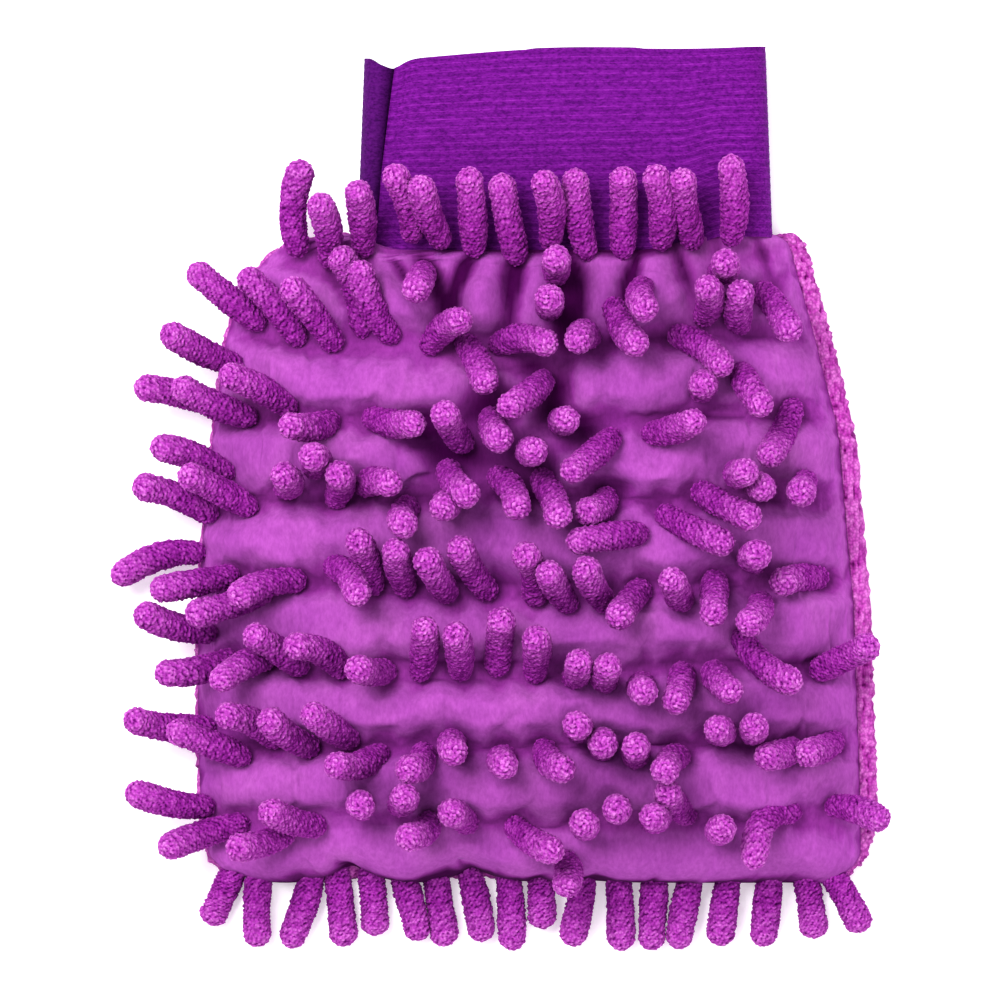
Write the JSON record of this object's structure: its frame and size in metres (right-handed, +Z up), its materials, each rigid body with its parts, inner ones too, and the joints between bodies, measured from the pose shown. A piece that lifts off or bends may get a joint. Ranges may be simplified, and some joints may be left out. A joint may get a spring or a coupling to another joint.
{
  "type": "wash mitt",
  "caption": "Padded wash mitt with rows of chenille noodles on its face, a plush back and a wide elastic cuff.",
  "frame": {"origin": "on the resting plane, under the middle of the mitt's bounding box", "axes": "the mitt lies on its plush back: +Z up out of the noodled face, +Y from the hem towards the cuff, +X across to the right of the noodled face"},
  "size_m": [0.2096, 0.2441, 0.0579],
  "materials": {
    "suede_microfibre": "matt suede nap",
    "chenille": "looped chenille pile",
    "plush_pile": "short pebbly pile",
    "elastic_webbing": "ribbed woven elastic",
    "foam_padding": "open-cell foam, hidden",
    "lining_cloth": "smooth knitted lining",
    "sewing_thread": "polyester thread"
  },
  "bodies": {
    "back": {"back_panel": "plush_pile", "back_lining": "lining_cloth", "cuff_back": "elastic_webbing", "cuff_lap_thread": "sewing_thread", "hem_noodles": "chenille", "perimeter_thread": "sewing_thread", "wrist_thread_back": "sewing_thread"},
    "front": {"front_panel": "suede_microfibre", "front_padding": "foam_padding", "front_lining": "lining_cloth", "cuff_front": "elastic_webbing", "wrist_thread_front": "sewing_thread", "noodle_row_1": "chenille", "noodle_row_2": "chenille", "noodle_row_3": "chenille", "noodle_row_4": "chenille", "noodle_row_5": "chenille", "noodle_row_6": "chenille", "noodle_row_7": "chenille", "noodle_row_8": "chenille", "row_thread_1": "sewing_thread", "row_thread_2": "sewing_thread", "row_thread_3": "sewing_thread", "row_thread_4": "sewing_thread", "row_thread_5": "sewing_thread", "row_thread_6": "sewing_thread", "row_thread_7": "sewing_thread", "row_thread_8": "sewing_thread"}
  },
  "joints": [
    {"name": "mouth_open", "type": "hinge", "parent": "back", "child": "front", "pos_m": [0, -0.104, 0.0051], "axis": [1, 0, 0], "range_deg": [0, 10], "stiffness_Nm_per_rad": 0.1}
  ]
}
